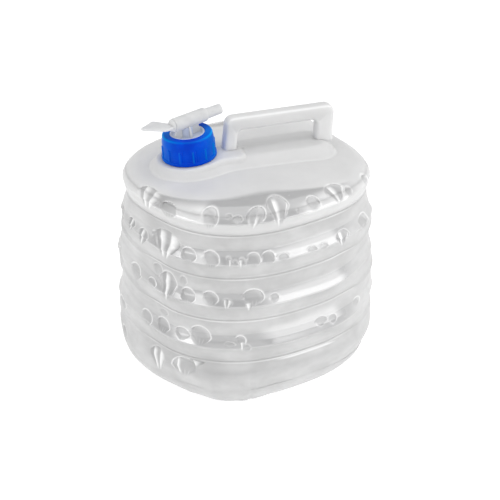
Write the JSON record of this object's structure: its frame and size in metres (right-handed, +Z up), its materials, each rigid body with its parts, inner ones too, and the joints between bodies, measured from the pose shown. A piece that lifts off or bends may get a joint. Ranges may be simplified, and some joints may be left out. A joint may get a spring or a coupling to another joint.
{
  "type": "collapsible water carrier",
  "caption": "Pleated, folding plastic water carrier with a moulded carrying handle, a screw cap and a swivel tap with a paddle.",
  "frame": {"origin": "middle of the foot, on the surface that the carrier stands on", "axes": "+Z up; +X along the carrying handle, away from the neck; the spout's side of the handle is +Y"},
  "size_m": [0.2794, 0.265, 0.3144],
  "materials": {
    "frosted_shell": "frosted translucent polyethylene",
    "clear_film": "glossy, nearly clear polyethylene film",
    "blue_cap": "satin",
    "milky_tap": "milky translucent",
    "white_rubber": "matte"
  },
  "bodies": {
    "base": {"foot_pan": "frosted_shell", "bellows": "clear_film"},
    "top": {"top_shell": "frosted_shell", "carry_handle": "frosted_shell", "neck": "frosted_shell"},
    "seal": {"cap_seal": "white_rubber"},
    "cap": {"screw_cap": "blue_cap"},
    "tap": {"tap_body": "milky_tap"},
    "plug": {"tap_plug": "milky_tap", "plug_o_ring": "white_rubber"}
  },
  "joints": [
    {"name": "collapse", "type": "slide", "parent": "base", "child": "top", "axis": [0, 0, -1], "range_m": [0, 0.14], "deforming": ["bellows"]},
    {"name": "cap_rise", "type": "slide", "parent": "top", "child": "seal", "axis": [-0.0872, 0, 0.9962], "range_m": [0, 0.0242]},
    {"name": "cap_turn", "type": "hinge", "parent": "seal", "child": "cap", "pos_m": [-0.066, 0, 0.263], "axis": [-0.0872, 0, 0.9962], "range_deg": [0, 1440]},
    {"name": "tap_swivel", "type": "hinge", "parent": "cap", "child": "tap", "pos_m": [-0.066, 0, 0.263], "axis": [-0.0872, 0, 0.9962], "range_deg": [-180, 180]},
    {"name": "paddle_turn", "type": "hinge", "parent": "tap", "child": "plug", "pos_m": [-0.06964, 0, 0.30464], "axis": [0.9623, 0.2588, 0.0842], "range_deg": [0, 90]}
  ],
  "couplings": [
    {"joint": "cap_rise", "follows": "cap_turn", "m_per_rad": 0.00095493}
  ]
}
